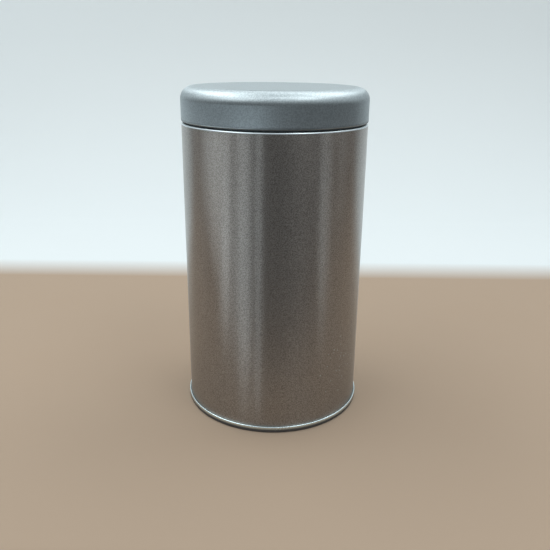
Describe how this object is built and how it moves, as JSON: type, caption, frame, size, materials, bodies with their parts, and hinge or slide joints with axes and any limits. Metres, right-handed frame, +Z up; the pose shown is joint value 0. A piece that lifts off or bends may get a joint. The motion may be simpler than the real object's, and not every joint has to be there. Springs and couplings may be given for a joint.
{
  "type": "tea tin",
  "caption": "Tall round tinplate canister with a rounded slip-on lid, a press-in inner lid and a seamed base, for keeping loose tea dry.",
  "frame": {"origin": "centre of the flat ring that the tin stands on", "axes": "+Z up the tin's axis to the lid, +Y to the back, where the side seam is"},
  "size_m": [0.0766, 0.0766, 0.1354],
  "materials": {
    "satin_tinplate": "satin tinplate with a fine speckled grain",
    "bright_tinplate": "bright tinplate",
    "matt_silver": "matt silver with a fine sparkle"
  },
  "bodies": {
    "tin": {"body_shell": "satin_tinplate", "bottom_end": "bright_tinplate"},
    "inner_lid": {"inner_lid": "bright_tinplate"},
    "outer_lid": {"outer_lid": "matt_silver"}
  },
  "joints": [
    {"name": "inner_lid_lift", "type": "slide", "parent": "tin", "child": "inner_lid", "axis": [0, 0, 1], "range_m": [0, 0.045]},
    {"name": "outer_lid_lift", "type": "slide", "parent": "inner_lid", "child": "outer_lid", "axis": [0, 0, 1], "range_m": [0, 0.045]}
  ]
}
